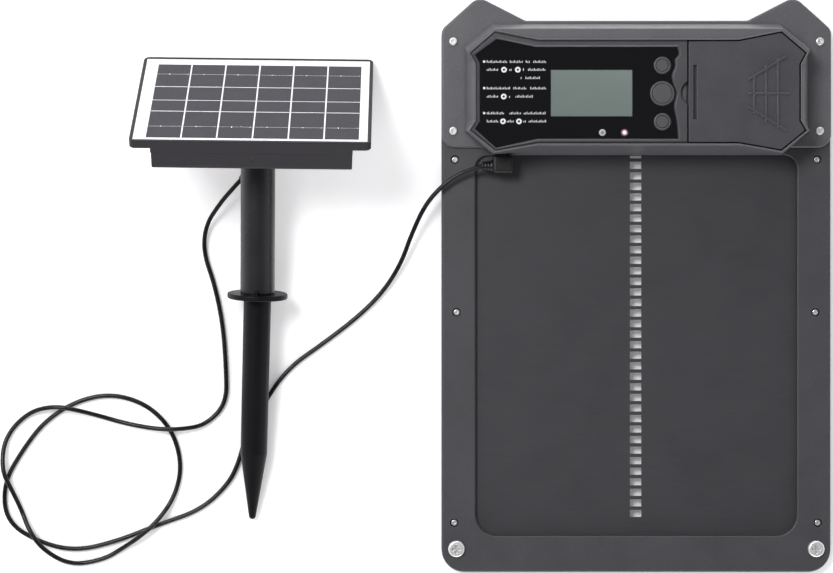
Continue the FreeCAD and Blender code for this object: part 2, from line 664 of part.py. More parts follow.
# ================================================================ batteries
def battery_tray():
    """The open box that holds the cells, on two feet."""
    x0, x1, y0, y1, z0, z1 = TRAY_BOX
    w = TRAY_WALL
    body = block(x0, x1, y0, y1, z0, z1).cut(block(x0 + w, x1 - w, y0 + w, y1 - w, z0 + w, z1 + 1))
    for n in range(3):
        y = (CELL_ROWS[n] + CELL_ROWS[n + 1]) / 2
        body = body.fuse(block(52, 88, y - 0.5, y + 0.5, z0 + w - 0.5, z0 + w + 2.2))
    for x in (x0 + 6, x1 - 6):
        body = body.fuse(block(x - 2, x + 2, y0, y1, FRAME_Z, z0))
    return body


def battery_cells():
    """Four AA cells, alternating in direction."""
    cells = []
    for n, y in enumerate(CELL_ROWS):
        side = 1 if n % 2 else -1
        middle = cell_middle(side)
        axis = Vector(side, 0, 0)
        can = rod(CELL_RADIUS, Vector(middle - side * CELL_FLAT, y, CELL_Z), axis,
                  CELL_FLAT + CELL_STUD - 1.6)
        can = can.makeFillet(0.8, can.Edges[:1] + can.Edges[2:])
        cells.append(can.fuse(rod(2.75, Vector(middle + side * (CELL_STUD - 1.6), y, CELL_Z), axis, 1.6)))
    return Part.makeCompound(cells)


def contact_x(side):
    """The inner face of the contact plates on one side."""
    return TRAY_BOX[1] - TRAY_WALL - 0.5 if side > 0 else TRAY_BOX[0] + TRAY_WALL + 0.5


def cell_middle(side):
    """The middle of a cell whose stud just meets the contact on one side."""
    return contact_x(side) - side * (CELL_STUD + 0.05)


def battery_contacts():
    """A plated steel strip at each end of each cell."""
    plates = []
    for y in CELL_ROWS:
        for side in (-1, 1):
            x0, x1 = sorted((contact_x(side), contact_x(side) + side * 0.5))
            plates.append(block(x0, x1, y - 5.5, y + 5.5, TRAY_BOX[4] + TRAY_WALL, CELL_Z + 6))
    return Part.makeCompound(plates)


def battery_springs():
    """A stepped cone spring between each cell's flat end and its contact."""
    springs = []
    for n, y in enumerate(CELL_ROWS):
        side = -1 if n % 2 else 1
        start = contact_x(side)
        gap = abs(start - (cell_middle(-side) + side * CELL_FLAT))
        rings = 5
        for k in range(rings):
            radius = 4.6 - 0.5 * k
            ring = rod(radius, Vector(start - side * gap * k / rings, y, CELL_Z),
                       Vector(-side, 0, 0), gap / rings)
            hollow = rod(radius - 0.8, Vector(start - side * (gap * k / rings - 0.5), y, CELL_Z),
                         Vector(-side, 0, 0), gap / rings + 1)
            springs.append(ring.cut(hollow))
    merged = []
    for n in range(len(CELL_ROWS)):
        group = springs[n * 5:(n + 1) * 5]
        merged.append(group[0].multiFuse(group[1:]))
    return Part.makeCompound(merged)


def relief_rib(x0, y0, x1, y1):
    """One low straight rib on the battery cover."""
    run = math.hypot(x1 - x0, y1 - y0)
    rib = block(0, run, -0.65, 0.65, INSERT_Z - 0.5, INSERT_Z + 0.65)
    rib.rotate(Vector(0, 0, 0), Z_AXIS, math.degrees(math.atan2(y1 - y0, x1 - x0)))
    rib.translate(Vector(x0, y0, 0))
    return rib


def battery_cover():
    """The lift-up cover, with a grip groove and plain relief ribs."""
    body = plate(insert_outline(), COVER_UNDER, INSERT_Z)
    body = body.common(block(SPLIT_X + SPLIT_HALF, 150, 60, 200, 30, 60))
    middle = (COVER_UNDER + INSERT_Z) / 2
    body = soften(body, 1.6, lambda c: c.x > 85 and abs(c.z - middle) < 0.01 and abs(c.x - 106) > 1.5)
    body = body.cut(block(35.4, 37.8, 111.5, 148, COVER_UNDER + 0.6, INSERT_Z + 1))
    ribs = [(72, 129, 100, 129), (76, 116, 76, 142), (84, 110, 84, 148), (92, 106, 92, 152),
            (72, 120, 98, 104), (72, 138, 98, 154)]
    return body.multiFuse([relief_rib(*rib) for rib in ribs])


# ================================================================ power plug
def plug_body():
    """The right-angle plug under the housing."""
    body = block(JACK_X - 6.5, JACK_X + 7.5, PLUG_Y - 4.8, 88.7, JACK_Z - 5.2, JACK_Z + 5.2)
    body = body.makeFillet(1.8, body.Edges)
    body = body.fuse(rod(4.9, Vector(JACK_X, 86, JACK_Z), Y_AXIS, 3.3))
    body = body.fuse(rod(3.9, Vector(JACK_X, 86, JACK_Z), Y_AXIS, 7.8))
    return body.cut(rod(2.75, Vector(JACK_X, 86, JACK_Z), Y_AXIS, 9))


def plug_relief():
    """The plug's ribbed, tapered strain relief, round the cord."""
    start = JACK_X - 6.5
    length = start - RELIEF_END_X
    body = cone(4.3, RELIEF_TIP, Vector(start, PLUG_Y, JACK_Z), -X_AXIS, length)
    for n in range(3):
        x = start - 1.6 - 1.9 * n
        radius = 4.3 - (start - x) * (4.3 - RELIEF_TIP) / length
        groove = rod(radius + 1, Vector(x, PLUG_Y, JACK_Z), -X_AXIS, 0.8).cut(
            rod(radius - 0.7, Vector(x + 1, PLUG_Y, JACK_Z), -X_AXIS, 3))
        body = body.cut(groove)
    end = Vector(*CORD_ROUTE[-1])
    run = end - Vector(*CORD_ROUTE[-2])
    run.normalize()
    return body.cut(rod(CORD_RADIUS, end - run * 6, run, 6))


def plug_barrel():
    """The plug's nickel barrel, in the inlet."""
    barrel = rod(2.75, Vector(JACK_X, 86, JACK_Z), Y_AXIS, 14)
    return barrel.cut(rod(1.05, Vector(JACK_X, 89, JACK_Z), Y_AXIS, 12))


# ================================================================ solar head
def head_frame():
    """Where the head stands: its face's centre, x across, y up the face, z out of it."""
    turn = Rotation(Z_AXIS, HEAD_YAW).multiply(Rotation(Y_AXIS, HEAD_ROLL)).multiply(
        Rotation(X_AXIS, -HEAD_TILT))
    return Placement(HEAD_CENTRE, turn)


def pivot_point():
    """The tilt axis's middle, in the door's frame."""
    return head_frame().multVec(PIVOT_LOCAL)


def pivot_frame():
    """The head's axes with their origin on the tilt axis."""
    return Placement(pivot_point(), head_frame().Rotation)


def pole_frame():
    """Origin on the tilt axis, with -Y running down the pole."""
    turn = Rotation(Z_AXIS, POLE_YAW).multiply(Rotation(X_AXIS, STAKE_TILT))
    return Placement(pivot_point(), turn)


def spike_frame():
    """Origin in the middle of the collar, with -Y running to the tip."""
    turn = Rotation(Z_AXIS, SPIKE_YAW).multiply(Rotation(X_AXIS, STAKE_TILT))
    return Placement(pole_frame().multVec(Vector(0, COLLAR_AT, 0)), turn)


def laminate_box(z0, z1, gap):
    """The space of the laminate in the head's frame."""
    half_wide = HEAD_WIDE / 2 - LIP_BORDER - gap
    half_tall = HEAD_TALL / 2 - LIP_BORDER - gap
    return block(-half_wide, half_wide, -half_tall, half_tall, z0, z1)


def panel_frame():
    """The solar panel's frame: a thin wide lip, and a skirt that takes the rear shell."""
    half_wide, half_tall = HEAD_WIDE / 2, HEAD_TALL / 2
    corners = mirrored([(half_wide, half_tall, 4), (half_wide, -half_tall, 4)])
    lip = plate(corners, -LIP_THICK, 0)
    lip = soften(lip, 0.6, lambda c: c.z > -0.01)
    lip = lip.cut(laminate_box(-2.4, 1, 0))
    skirt = block(SHELL_X[0], SHELL_X[1], SHELL_Y[0], SHELL_Y[1], -SKIRT_DEPTH, -LIP_THICK)
    inner = block(SHELL_X[0] + 2, SHELL_X[1] - 2, SHELL_Y[0] + 2, SHELL_Y[1] - 2,
                  -SKIRT_DEPTH - 1, -LIP_THICK)
    return placed(lip.fuse(skirt.cut(inner)), head_frame())


def solar_laminate():
    """The white board that carries the cells."""
    return placed(laminate_box(-2.4, -0.45, 0.1), head_frame())


def cell_boxes():
    """The corners of each cell in the head's frame."""
    x0, x1, y0, y1 = CELL_AREA
    wide = (x1 - x0 + CELL_GAP) / 6 - CELL_GAP
    tall = (y1 - y0 - CELL_GAP) / 2
    for column in range(6):
        left = x0 + column * (wide + CELL_GAP)
        for row in range(2):
            low = y0 + row * (tall + CELL_GAP)
            yield left, left + wide, low, low + tall


def solar_cells():
    """Twelve cut cells in two rows."""
    cells = [block(a, b, c, d, -0.45, -0.25) for a, b, c, d in cell_boxes()]
    return placed(Part.makeCompound(cells), head_frame())


def cell_busbars():
    """One tinned strip across each cell."""
    bars = []
    for a, b, c, d in cell_boxes():
        share = 0.36 if c > -10 else 0.70
        y = c + (d - c) * share
        bars.append(block(a + 0.2, b - 0.2, y - 0.35, y + 0.35, -0.25, -0.13))
    return placed(Part.makeCompound(bars), head_frame())


def panel_housing():
    """The rear shell of the solar panel."""
    low = -SHELL_DEPTH
    outer = block(SHELL_X[0] + 0.4, SHELL_X[1] - 0.4, SHELL_Y[0] + 0.3, SHELL_Y[1] - 0.4,
                  low, -SKIRT_DEPTH - 0.05)
    outer = soften(outer, 2.0, lambda c: c.z < low + 0.01)
    inner = block(SHELL_X[0] + 2.6, SHELL_X[1] - 2.6, SHELL_Y[0] + 2.6, SHELL_Y[1] - 2.6, low + 2.2, 0)
    body = outer.cut(inner)
    for xy in panel_screw_points():
        pillar = post(3.4, xy, low + 1, -SKIRT_DEPTH - 0.05)
        body = body.fuse(pillar).cut(post(1.3, xy, low - 1, 0)).cut(post(2.7, xy, low - 1, low + 1.6))
    body = body.cut(rod(BUNG_RADIUS, Vector(1.5, SHELL_Y[0] - 1, -13.0), Y_AXIS, 8))
    return placed(body, head_frame())


def panel_screw_points():
    """The four screws in the rear shell's corners."""
    return [(x, y) for x in (SHELL_X[0] + 8, SHELL_X[1] - 8) for y in (SHELL_Y[0] + 8, SHELL_Y[1] - 8)]


def panel_screws():
    """Four screws sunk in the rear shell, up into the frame."""
    screws = []
    low = -SHELL_DEPTH
    for xy in panel_screw_points():
        screws.append(post(2.5, xy, low + 0.3, low + 1.6).fuse(post(1.3, xy, low + 1.6, -SKIRT_DEPTH - 1)))
    return placed(Part.makeCompound(screws), head_frame())


def socket_bung():
    """The round rubber bung in the rear shell's lower wall."""
    bung = rod(BUNG_RADIUS, Vector(1.5, SHELL_Y[0] + 0.5, -13.0), Y_AXIS, 2.2)
    return placed(bung, head_frame())


def tilt_lug():
    """The lug on the back of the head that sits between the fork's ears."""
    x, y, z = PIVOT_LOCAL
    foot = block(x - 14, x + 14, y - 10.5, y + 10.5, -SHELL_DEPTH - 3, -SHELL_DEPTH)
    lug = block(x - LUG_HALF, x + LUG_HALF, y - LUG_RADIUS, y + LUG_RADIUS, z, -SHELL_DEPTH - 2)
    lug = lug.fuse(rod(LUG_RADIUS, Vector(x - LUG_HALF, y, z), X_AXIS, 2 * LUG_HALF))
    bore = rod(BOLT_RADIUS + BOLT_PLAY, Vector(x - 20, y, z), X_AXIS, 40)
    return placed(foot.fuse(lug).cut(bore), head_frame())


# ================================================================ stake
def pole_fork():
    """The fork at the pole's top: two ears round the lug, and a plug inside the tube."""
    ears = []
    for side in (-1, 1):
        x0, x1 = sorted((side * (LUG_HALF + 0.25), side * EAR_OUTER))
        ear = rod(FORK_RADIUS, Vector(x0, 0, 0), X_AXIS, x1 - x0)
        ears.append(ear.fuse(block(x0, x1, -14, 0, -FORK_RADIUS, FORK_RADIUS)))
    neck = rod(POLE_RADIUS, Vector(0, -12.0, 0), -Y_AXIS, -POLE_TOP - 12.0)
    plug = rod(POLE_RADIUS - POLE_WALL, Vector(0, -12.0, 0), -Y_AXIS, 16)
    body = placed(ears[0].multiFuse([ears[1], neck, plug]), pole_frame())
    bore = placed(rod(BOLT_RADIUS + BOLT_PLAY, Vector(-20, 0, 0), X_AXIS, 40), pivot_frame())
    return body.cut(bore).cut(grommet_shape())


def grommet_line():
    """The cord's first point, and its direction back into the pole."""
    tip, after = (Vector(*p) for p in CORD_ROUTE[:2])
    back = tip - after
    back.normalize()
    return tip, back


def grommet_shape():
    """The tapered bush that the cord leaves the pole through."""
    tip, back = grommet_line()
    return cone(2.1, 3.2, tip, back, 5.0).fuse(rod(3.2, tip + back * 5.0, back, 4.0))


def pole_tube():
    """The round tube from the fork to the collar."""
    length = POLE_TOP - COLLAR_AT - COLLAR_THICK / 2 - 0.3
    tube = rod(POLE_RADIUS, Vector(0, POLE_TOP, 0), -Y_AXIS, length)
    tube = tube.cut(rod(POLE_RADIUS - POLE_WALL, Vector(0, POLE_TOP + 1, 0), -Y_AXIS, length + 2))
    return placed(tube, pole_frame()).cut(grommet_shape())


def pole_grommet():
    """The rubber grommet in the pole's wall."""
    return grommet_shape().cut(placed(rod(POLE_RADIUS - POLE_WALL - 2, Vector(0, -5, 0), -Y_AXIS, 60),
                                      pole_frame()))


def ground_spike():
    """The spike: a plug in the pole, a round collar, a long shank and a tapered tip."""
    half = COLLAR_THICK / 2
    collar = rod(COLLAR_RADIUS, Vector(0, half, 0), -Y_AXIS, COLLAR_THICK)
    collar = collar.makeFillet(0.8, [e for e in collar.Edges if len(e.Vertexes) == 1])
    shank = cone(SPIKE_TOP_RADIUS, SPIKE_LOW_RADIUS, Vector(0, -half, 0), -Y_AXIS, SPIKE_SHOULDER - half)
    taper = cone(SPIKE_LOW_RADIUS, SPIKE_TIP_RADIUS, Vector(0, -SPIKE_SHOULDER, 0), -Y_AXIS,
                 SPIKE_LENGTH - SPIKE_SHOULDER - SPIKE_TIP_RADIUS * 0.8)
    tip = Part.makeSphere(SPIKE_TIP_RADIUS, Vector(0, -SPIKE_LENGTH + SPIKE_TIP_RADIUS * 1.02, 0))
    key = block(-1.2, 1.2, half - 0.1, half + 2.5, POLE_RADIUS + 0.3, POLE_RADIUS + 3.2)
    body = collar.multiFuse([shank, taper, tip, key])
    plug = rod(POLE_RADIUS - POLE_WALL - 0.6, Vector(0, 0, 0), Y_AXIS, 22)
    return placed(body.fuse(plug), spike_frame())


def pivot_bolt():
    """The bolt through the ears and the lug, with a domed head on its left end."""
    shank = rod(BOLT_RADIUS, Vector(-EAR_OUTER - 0.2, 0, 0), X_AXIS, 2 * EAR_OUTER + 8)
    head = rod(4.6, Vector(-EAR_OUTER - 3.4, 0, 0), X_AXIS, 3.2)
    head = head.makeFillet(1.2, [e for e in head.Edges if e.CenterOfMass.x < -EAR_OUTER - 3.3])
    return placed(shank.fuse(head), pivot_frame())


def pivot_knob():
    """The four-lobed clamping knob on the bolt's right end."""
    x = EAR_OUTER + 0.2
    knob = rod(6.0, Vector(x, 0, 0), X_AXIS, 10)
    for n in range(4):
        angle = math.radians(90 * n + 45)
        lobe = rod(2.6, Vector(x + 1, 6.0 * math.cos(angle), 6.0 * math.sin(angle)), X_AXIS, 9)
        knob = knob.fuse(lobe)
    return placed(knob.cut(rod(BOLT_RADIUS, Vector(x - 1, 0, 0), X_AXIS, 8.8)), pivot_frame())


# ================================================================ cord
def solar_cord():
    """The cord: straight runs joined by tangent arcs along its route."""
    points = [Vector(*p) for p in CORD_ROUTE]
    edges = []
    here = points[0]
    radii = []
    for before, corner, after in zip(points, points[1:], points[2:]):
        arrive = before - corner
        leave = after - corner
        half_turn = (math.pi - arrive.getAngle(leave)) / 2
        reach = 0.45 * min(arrive.Length, leave.Length)
        radius = reach / math.tan(half_turn)
        radii.append(radius)
        arrive.normalize()
        leave.normalize()
        middle = arrive + leave
        middle.normalize()
        enter = corner + arrive * reach
        crown = corner + middle * (radius / math.cos(half_turn) - radius)
        edges.append(Part.LineSegment(here, enter).toShape())
        here = corner + leave * reach
        edges.append(Part.Arc(enter, crown, here).toShape())
    edges.append(Part.LineSegment(here, points[-1]).toShape())
    path = Part.Wire(edges)
    heading = points[1] - points[0]
    section = Part.Wire(Part.Circle(points[0], heading, CORD_RADIUS).toShape())
    tube = path.makePipeShell([section], True, False, 2)
    ideal = math.pi * CORD_RADIUS ** 2 * path.Length
    print("cord: length %.1f, smallest radius %.1f, volume %.0f, section times length %.0f"
          % (path.Length, min(radii), tube.Volume, ideal))
    print("cord radii:", ", ".join("%.0f" % r for r in radii))
    return tube


# ================================================================ export
def cover_screws():
    """Four screws that hold the housing."""
    return Part.makeCompound([screw(xy, 2.7, FLANGE_Z, 1.6, 1.3, 2.0) for xy in COVER_SCREWS])


def frame_screws():
    """Six small sunk screws that hold the two frame halves together."""
    return Part.makeCompound([screw(xy, 2.1, FRAME_Z - 2.6, 1.3, 1.3, 2.0) for xy in FRAME_SCREWS])


def wall_screws():
    """Two large screws through the bottom corners."""
    return Part.makeCompound([screw(xy, 5.6, FRAME_Z, 3.0, 2.6, 0.3) for xy in WALL_SCREWS])


NODES = {
    "rear_frame": rear_frame, "front_frame": front_frame, "guide_liners": guide_liners,
    "bottom_stop": bottom_stop, "doorway_seal": doorway_seal, "door_panel": door_panel,
    "drive_pinion": drive_pinion,
    "drive_shaft": drive_shaft, "gearbox": gearbox, "gear_motor": gear_motor,
    "motor_bracket": motor_bracket,
    "shaft_bush": shaft_bush, "motor_screws": motor_screws, "control_housing": control_housing,
    "housing_gasket": housing_gasket, "fascia_bezel": fascia_bezel, "display_window": display_window,
    "lcd_module": lcd_module, "tact_switches": tact_switches, "circuit_board": circuit_board,
    "board_screws": board_screws, "dc_jack": dc_jack, "battery_tray": battery_tray,
    "battery_cells": battery_cells, "battery_contacts": battery_contacts,
    "battery_springs": battery_springs,
    "battery_cover": battery_cover, "cover_screws": cover_screws, "frame_screws": frame_screws,
    "wall_screws": wall_screws, "plug_body": plug_body, "plug_relief": plug_relief,
    "plug_barrel": plug_barrel, "panel_frame": panel_frame, "solar_laminate": solar_laminate,
    "solar_cells": solar_cells, "cell_busbars": cell_busbars, "panel_housing": panel_housing,
    "panel_screws": panel_screws, "socket_bung": socket_bung, "tilt_lug": tilt_lug, "pole_fork": pole_fork,
    "pole_tube": pole_tube, "pole_grommet": pole_grommet, "ground_spike": ground_spike,
    "pivot_bolt": pivot_bolt, "pivot_knob": pivot_knob, "solar_cord": solar_cord,
}


def main():
    """Write every node."""
    os.makedirs("parts", exist_ok=True)
    shapes = {name: make() for name, make in NODES.items()}
    shapes.update({name: push_button(name) for name in BUTTONS})
    shapes["light_sensor"] = lens(SENSOR_XY, 2.3)
    shapes["status_led"] = lens(LED_XY, 2.3)
    for name, shape in shapes.items():
        if not shape.isValid():
            print("not valid:", name)
        shape.exportStep("parts/%s.step" % name)
    pivot = pivot_point()
    axis = head_frame().Rotation.multVec(X_AXIS)
    print("tilt axis through %.2f %.2f %.2f along %.5f %.5f %.5f" % (*pivot, *axis))
    print("pinion pitch radius %.4f, shaft at y %.3f z %.3f" % (PITCH_RADIUS, SHAFT_Y, SHAFT_Z))


main()
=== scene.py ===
"""The looks of the automatic coop door and its solar stake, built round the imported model. Metres."""

import json
import math

import bmesh
import bpy
from mathutils import Matrix, Vector


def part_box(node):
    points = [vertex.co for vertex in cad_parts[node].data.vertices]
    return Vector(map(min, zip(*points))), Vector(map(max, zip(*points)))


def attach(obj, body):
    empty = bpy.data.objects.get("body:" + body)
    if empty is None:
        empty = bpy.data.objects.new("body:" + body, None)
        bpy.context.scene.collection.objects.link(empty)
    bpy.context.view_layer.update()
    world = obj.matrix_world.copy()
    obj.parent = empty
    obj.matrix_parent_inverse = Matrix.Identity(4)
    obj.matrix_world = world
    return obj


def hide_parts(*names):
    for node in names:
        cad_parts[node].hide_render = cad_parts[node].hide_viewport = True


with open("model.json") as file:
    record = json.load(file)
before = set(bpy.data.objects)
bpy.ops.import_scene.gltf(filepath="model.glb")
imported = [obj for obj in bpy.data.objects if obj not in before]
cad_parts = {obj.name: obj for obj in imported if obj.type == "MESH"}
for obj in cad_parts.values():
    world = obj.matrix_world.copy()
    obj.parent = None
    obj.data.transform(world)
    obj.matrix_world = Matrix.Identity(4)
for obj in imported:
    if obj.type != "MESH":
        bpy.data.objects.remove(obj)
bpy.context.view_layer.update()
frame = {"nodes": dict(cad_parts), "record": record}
scene = bpy.context.scene
MM = 0.001

# ---------------------------------------------------------------- camera
CAMERA_AT = (-0.14955, 0.0, 1.645)
CAMERA_LENS = 103.72

# ---------------------------------------------------------------- cord, as in the CAD, mm
CORD_RADIUS = 1.55
LOW = CORD_RADIUS  # lying on the floor
OVER = 6.75  # where it crosses over another strand
CORD_ROUTE = [
    (-268.0, 72.5, 22.0), (-276.0, 64.5, 17.5), (-284.0, 55.5, 12.0),
    (-293.5, 42.0, 5.5), (-295.5, 23.5, LOW),
    (-287.5, 0.5, LOW), (-282.0, -27.0, LOW), (-280.0, -55.0, LOW), (-279.5, -80.0, LOW),
    (-294.0, -95.0, LOW), (-310.5, -97.5, OVER), (-326.0, -97.5, OVER), (-348.0, -94.0, LOW),
    (-367.0, -88.5, LOW), (-381.0, -84.5, OVER), (-397.0, -81.5, OVER), (-415.5, -86.0, LOW),
    (-431.5, -103.0, LOW), (-433.0, -125.0, OVER), (-425.5, -139.5, OVER), (-420.0, -153.0, LOW),
    (-414.0, -166.5, OVER), (-405.0, -179.5, OVER), (-386.5, -191.0, LOW), (-363.5, -187.0, LOW),
    (-350.5, -179.0, LOW), (-338.5, -171.0, OVER), (-326.5, -160.5, OVER), (-315.0, -144.0, LOW),
    (-310.0, -122.5, LOW), (-316.5, -98.5, LOW), (-333.5, -81.0, LOW), (-357.0, -73.5, LOW),
    (-380.5, -77.5, LOW), (-403.5, -91.5, LOW), (-419.0, -111.5, LOW), (-432.5, -135.0, LOW),
    (-430.5, -161.5, LOW), (-406.0, -176.0, LOW), (-381.5, -181.0, LOW), (-353.5, -174.0, LOW),
    (-326.0, -163.0, LOW), (-297.0, -153.0, LOW), (-278.0, -135.0, LOW),
    (-271.0, -119.5, LOW), (-267.8, -107.0, LOW),
    (-256.0, -83.0, LOW), (-238.5, -56.5, LOW), (-212.0, -38.0, LOW), (-188.0, -19.5, LOW),
    (-171.5, -2.5, 3.0), (-160.0, 16.0, 6.0), (-153.0, 35.5, 10.0),
    (-143.5, 56.0, 15.0), (-131.0, 69.5, 17.3),
    (-118.5, 77.5, 18.7), (-105.0, 81.5, 19.0)]

# ---------------------------------------------------------------- plain print on the window, mm
PRINT_LEFT = 7.9
BULLET_LEFT = 6.1
PRINT_THICK = 0.05
DASH_WIDE = 0.45
DASH_PITCH = 1.0
# one row: its drop from the window's top, its runs of dashes, and the middles of its rings
PRINT_ROWS = [
    (15.3, [(0, 13.8), (15.4, 24.2), (26.1, 28.8), (31.1, 39.9)], []),
    (20.6, [(0, 8.1), (15.0, 17.3), (24.2, 25.7), (27.6, 39.8)], [11.5, 20.7]),
    (26.1, [(22.7, 24.2), (25.9, 35.7)], []),
    (33.0, [(0, 15.8), (17.8, 27.3), (29.1, 40.3)], []),
    (38.5, [(0, 8.1), (15.0, 16.3), (19.2, 31.1)], [11.3]),
    (49.7, [(0, 11.6), (15.2, 23.1), (24.7, 40.0)], []),
    (55.1, [(0, 8.1), (13.4, 18.6), (24.5, 26.2), (28.0, 40.0)], [10.8, 21.5])]
BULLET_ROWS = (0, 3, 5)

# ---------------------------------------------------------------- solar head, as in the CAD, mm and degrees
HEAD_CENTRE = (-257.2, 124.7, 50.75)
HEAD_TILT = 56.0
HEAD_ROLL = 0.5
HEAD_YAW = -0.63
CELL_AREA = (-67.5, 70.3, -51.1, 46.3)
CELL_GAP = 1.0
CELL_TOP = -0.25

# ---------------------------------------------------------------- surface detail, metres
MOULDED_EDGE = 0.0006
CUT_EDGE = 0.0003
BOARD_EDGE = 0.0004
SEAM_REACH = 0.003
FLOOR_REACH = 0.035
BRUSH_DEPTH = 0.00002
HAZE = 0.03
# colour of the painted highlight on the edges of gloss plastic
EDGE_HIGHLIGHT = (0.2, 0.2, 0.22, 1.0)
FINGER_PITCH = 0.0016

# ---------------------------------------------------------------- studio, metres
FLOOR_HALF = 3.0
FLOOR_Z = -0.0004


# ================================================================ node helpers
def add(tree, kind, inputs=None, **settings):
    """One shader node: settings are its own, and inputs are values or the sockets that feed them."""
    made = tree.nodes.new("ShaderNode" + kind)
    for key, value in settings.items():
        setattr(made, key, value)
    for key, value in (inputs or {}).items():
        if isinstance(value, bpy.types.NodeSocket):
            tree.links.new(value, made.inputs[key])
        else:
            made.inputs[key].default_value = value
    return made


def noise(tree, at, scale, detail=2.0, rough=0.5):
    """Noise's strength at a place, with scale in waves a metre."""
    inputs = {"Vector": at, "Scale": scale, "Detail": detail, "Roughness": rough}
    return add(tree, "TexNoise", inputs).outputs[0]


def spread(tree, value, low, high, to_low, to_high):
    """value from low to high, carried over to to_low to to_high."""
    inputs = {"Value": value, 1: low, 2: high, 3: to_low, 4: to_high}
    return add(tree, "MapRange", inputs).outputs[0]


def maths(tree, operation, a, b=0.0):
    """One sum of two values."""
    return add(tree, "Math", {0: a, 1: b}, operation=operation).outputs[0]


def blend(tree, share, a, b):
    """Colour a at share 0 and b at share 1."""
    return add(tree, "MixRGB", {0: share, 1: a, 2: b}).outputs[0]


def patches(tree, value, a, b):
    """Colour a where value is low and b where it is high, with a soft change between."""
    return blend(tree, spread(tree, value, 0.3, 0.7, 0.0, 1.0), a, b)


def shade(colour, factor):
    """A colour made lighter or darker, with its alpha."""
    return tuple(min(1.0, c * factor) for c in colour[:3]) + (1.0,)


def start(name, **values):
    """A new Principled material, its node tree, its shader and the object's own coordinates."""
    made = bpy.data.materials.new(name)
    made.use_nodes = True
    tree = made.node_tree
    shader = tree.nodes["Principled BSDF"]
    for key, value in values.items():
        shader.inputs[key.replace("_", " ")].default_value = value
    at = add(tree, "TexCoord").outputs["Object"]
    return made, tree, shader, at


def soft_edges(tree, radius):
    """The normal with edges rounded by radius, and how far each point is into an edge."""
    rounded = add(tree, "Bevel", {"Radius": radius}, samples=6).outputs[0]
    straight = add(tree, "NewGeometry").outputs["Normal"]
    along = add(tree, "VectorMath", {0: rounded, 1: straight}, operation="DOT_PRODUCT").outputs["Value"]
    return rounded, spread(tree, along, 1.0, 0.80, 0.0, 1.0)


def openness(tree, reach):
    """How open each point is within reach: 0 deep in a corner or seam, 1 in the open."""
    return add(tree, "AmbientOcclusion", {"Distance": reach}, samples=4).outputs["AO"]


# ================================================================ materials
def moulded(name, colour, rough, grain=1300.0, depth=0.00006, drift=0.10, edge=0.5, spec=0.5):
    """Moulded plastic: a spark-eroded grain, cloudy colour, a painted highlight on its outer edges, which are
    also made smoother, and painted shade darkening its corners and seams.
    """
    made, tree, shader, at = start(name)
    fine = noise(tree, at, grain, 3.0, 0.6)
    cloud = noise(tree, at, 22.0, 4.0, 0.6)
    # the outer edges, which get a painted highlight; edge sets how strong it is
    rounded, highlit_edge = soft_edges(tree, MOULDED_EDGE)
    open_air = openness(tree, SEAM_REACH)
    # no painted highlight inside corners and seams
    highlit_edge = maths(tree, "MULTIPLY", highlit_edge, spread(tree, open_air, 0.72, 0.92, 0.0, 1.0))
    body = patches(tree, cloud, shade(colour, 1 - drift), shade(colour, 1 + drift))
    speck = spread(tree, fine, 0.35, 0.65, 0.0, 1.0)
    body = blend(tree, maths(tree, "MULTIPLY", speck, 0.30), body, shade(colour, 1.9))
    # painted highlight: outer edges lightened towards three times the colour
    body = blend(tree, maths(tree, "MULTIPLY", highlit_edge, edge * 0.5), body, shade(colour, 3.0))
    # painted shade: corners and seams, found by how open each point is, are darkened towards black
    body = blend(tree, spread(tree, open_air, 0.35, 0.80, 0.75, 0.0), body, (0.0, 0.0, 0.0, 1.0))
    tree.links.new(body, shader.inputs["Base Color"])
    smear = noise(tree, at, 60.0, 3.0, 0.5)
    dull = spread(tree, smear, 0.3, 0.7, rough - 0.05, rough + 0.05)
    # the same edges are also made smoother
    dull = maths(tree, "SUBTRACT", dull, maths(tree, "MULTIPLY", highlit_edge, 0.22))
    tree.links.new(dull, shader.inputs["Roughness"])
    lumps = add(tree, "Bump", {"Height": fine, "Strength": 0.5, "Distance": depth, "Normal": rounded})
    tree.links.new(lumps.outputs[0], shader.inputs["Normal"])
    shader.inputs["Specular IOR Level"].default_value = spec
    return made


def brushed(name, colour, rough, metallic, along, fine=2600.0):
    """Metal with fine lines drawn along one axis, in uneven patches, and a painted highlight on its edges."""
    made, tree, shader, at = start(name, Metallic=metallic)
    stretch = [fine, fine, fine]
    stretch["XYZ".index(along)] = fine * 0.02
    lines = add(tree, "VectorMath", {0: at, 1: tuple(stretch)}, operation="MULTIPLY").outputs[0]
    streak = noise(tree, lines, 1.0, 2.0, 0.6)
    cloud = noise(tree, at, 30.0, 3.0, 0.6)
    rounded, highlit_edge = soft_edges(tree, CUT_EDGE)
    body = patches(tree, streak, shade(colour, 0.90), shade(colour, 1.10))
    # painted highlight: edges lightened
    body = blend(tree, maths(tree, "MULTIPLY", highlit_edge, 0.5), body, shade(colour, 1.9))
    tree.links.new(body, shader.inputs["Base Color"])
    tree.links.new(spread(tree, cloud, 0.3, 0.7, rough - 0.06, rough + 0.06), shader.inputs["Roughness"])
    lumps = add(tree, "Bump", {"Height": streak, "Strength": 0.4, "Distance": BRUSH_DEPTH, "Normal": rounded})
    tree.links.new(lumps.outputs[0], shader.inputs["Normal"])
    return made


